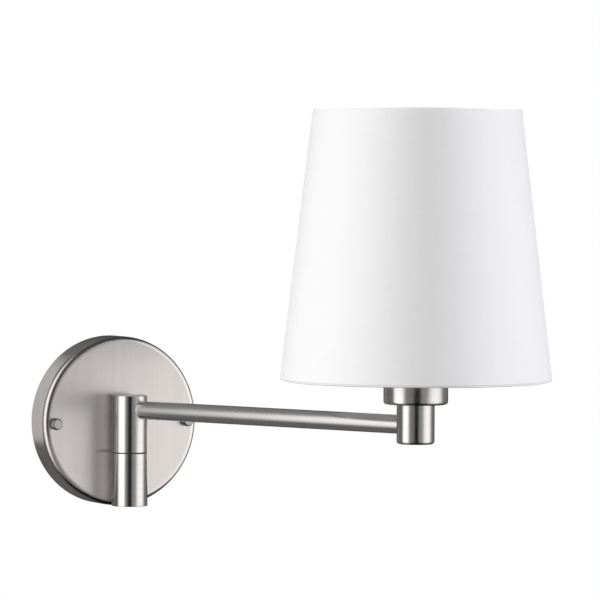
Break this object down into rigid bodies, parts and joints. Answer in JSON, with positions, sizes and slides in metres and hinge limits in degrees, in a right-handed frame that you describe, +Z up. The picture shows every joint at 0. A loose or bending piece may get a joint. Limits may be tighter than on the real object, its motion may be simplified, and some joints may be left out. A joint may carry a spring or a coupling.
{
  "type": "swing arm wall sconce",
  "caption": "Wall light with a round canopy, an upright swivel post, a straight swing arm and a tapered fabric shade over a screw lamp holder.",
  "frame": {"origin": "centre of the back of the round canopy, on the wall plane, which is the middle of the two box screw slots", "axes": "+Z up, +Y into the wall, -Y out into the room, +X to the right of someone facing the wall; the swivel axis is parallel to Z"},
  "size_m": [0.2482, 0.3608, 0.28],
  "materials": {
    "brushed_nickel": "brushed satin nickel plate",
    "satin_nickel": "satin nickel plate, nearly polished",
    "zinc_steel": "bright zinc plate",
    "green_screw": "green dye on steel",
    "copper_wire": "bare copper",
    "nylon": "natural nylon",
    "black_washer": "black fibre",
    "cable_jacket": "clear-white flexible vinyl",
    "connector_shell": "orange plastic",
    "white_phenolic": "white moulded plastic",
    "porcelain": "white porcelain",
    "shell_brass": "plain brass",
    "white_wire": "white enamel on steel wire",
    "liner_plastic": "translucent white styrene sheet",
    "shade_cloth": "white linen weave laminated to the liner",
    "frosted_glass": "inside frosted white",
    "bulb_metal": "pressed bright aluminium",
    "bulb_insulator": "black vitrified insulator"
  },
  "bodies": {
    "wall_mount": {"canopy": "brushed_nickel", "mounting_bar": "zinc_steel", "canopy_studs": "zinc_steel", "stud_lock_nuts": "zinc_steel", "cap_nuts": "satin_nickel", "ground_screw": "green_screw", "ground_wire": "copper_wire", "post_nipple": "zinc_steel", "nipple_washer": "zinc_steel", "nipple_nut": "zinc_steel", "post_standoff": "satin_nickel", "lower_post": "satin_nickel", "lower_post_plug": "satin_nickel", "pivot_bush": "nylon", "friction_washer": "black_washer", "spring_washer": "zinc_steel", "stop_pin": "zinc_steel", "supply_cable": "cable_jacket", "supply_cores": "cable_jacket", "wire_connectors": "connector_shell"},
    "arm": {"upper_post": "satin_nickel", "upper_post_cap": "satin_nickel", "pivot_tube": "zinc_steel", "pivot_upper_nut": "zinc_steel", "pivot_lower_nut": "zinc_steel", "arm_tube": "satin_nickel", "arm_nipples": "zinc_steel", "end_post": "satin_nickel", "end_post_plug": "satin_nickel", "socket_cup": "satin_nickel", "cup_nipple": "zinc_steel", "cup_nipple_nut": "zinc_steel", "lampholder_cap": "white_phenolic", "lampholder_skirt": "white_phenolic", "socket_insulator": "porcelain", "screw_shell": "shell_brass", "centre_contact": "shell_brass", "terminal_screws": "shell_brass", "arm_cable": "cable_jacket", "shade_fitter": "white_wire", "shade_top_hoop": "white_wire", "shade_bottom_hoop": "white_wire", "shade_liner": "liner_plastic", "shade_fabric": "shade_cloth"},
    "shade_ring": {"shade_ring": "white_phenolic"},
    "bulb": {"bulb_glass": "frosted_glass", "bulb_base": "bulb_metal", "bulb_contact": "bulb_insulator"}
  },
  "joints": [
    {"name": "arm_swing", "type": "hinge", "parent": "wall_mount", "child": "arm", "pos_m": [0, -0.0352, 0], "axis": [0, 0, 1], "range_deg": [-97.5, 52.5]},
    {"name": "shade_ring_turn", "type": "hinge", "parent": "arm", "child": "shade_ring", "pos_m": [0.0972, -0.26987, 0.059], "axis": [0, 0, 1], "range_deg": [0, 720]},
    {"name": "bulb_turn", "type": "hinge", "parent": "arm", "child": "bulb", "pos_m": [0.0972, -0.26987, 0.062], "axis": [0, 0, 1], "range_deg": [0, 900]}
  ]
}
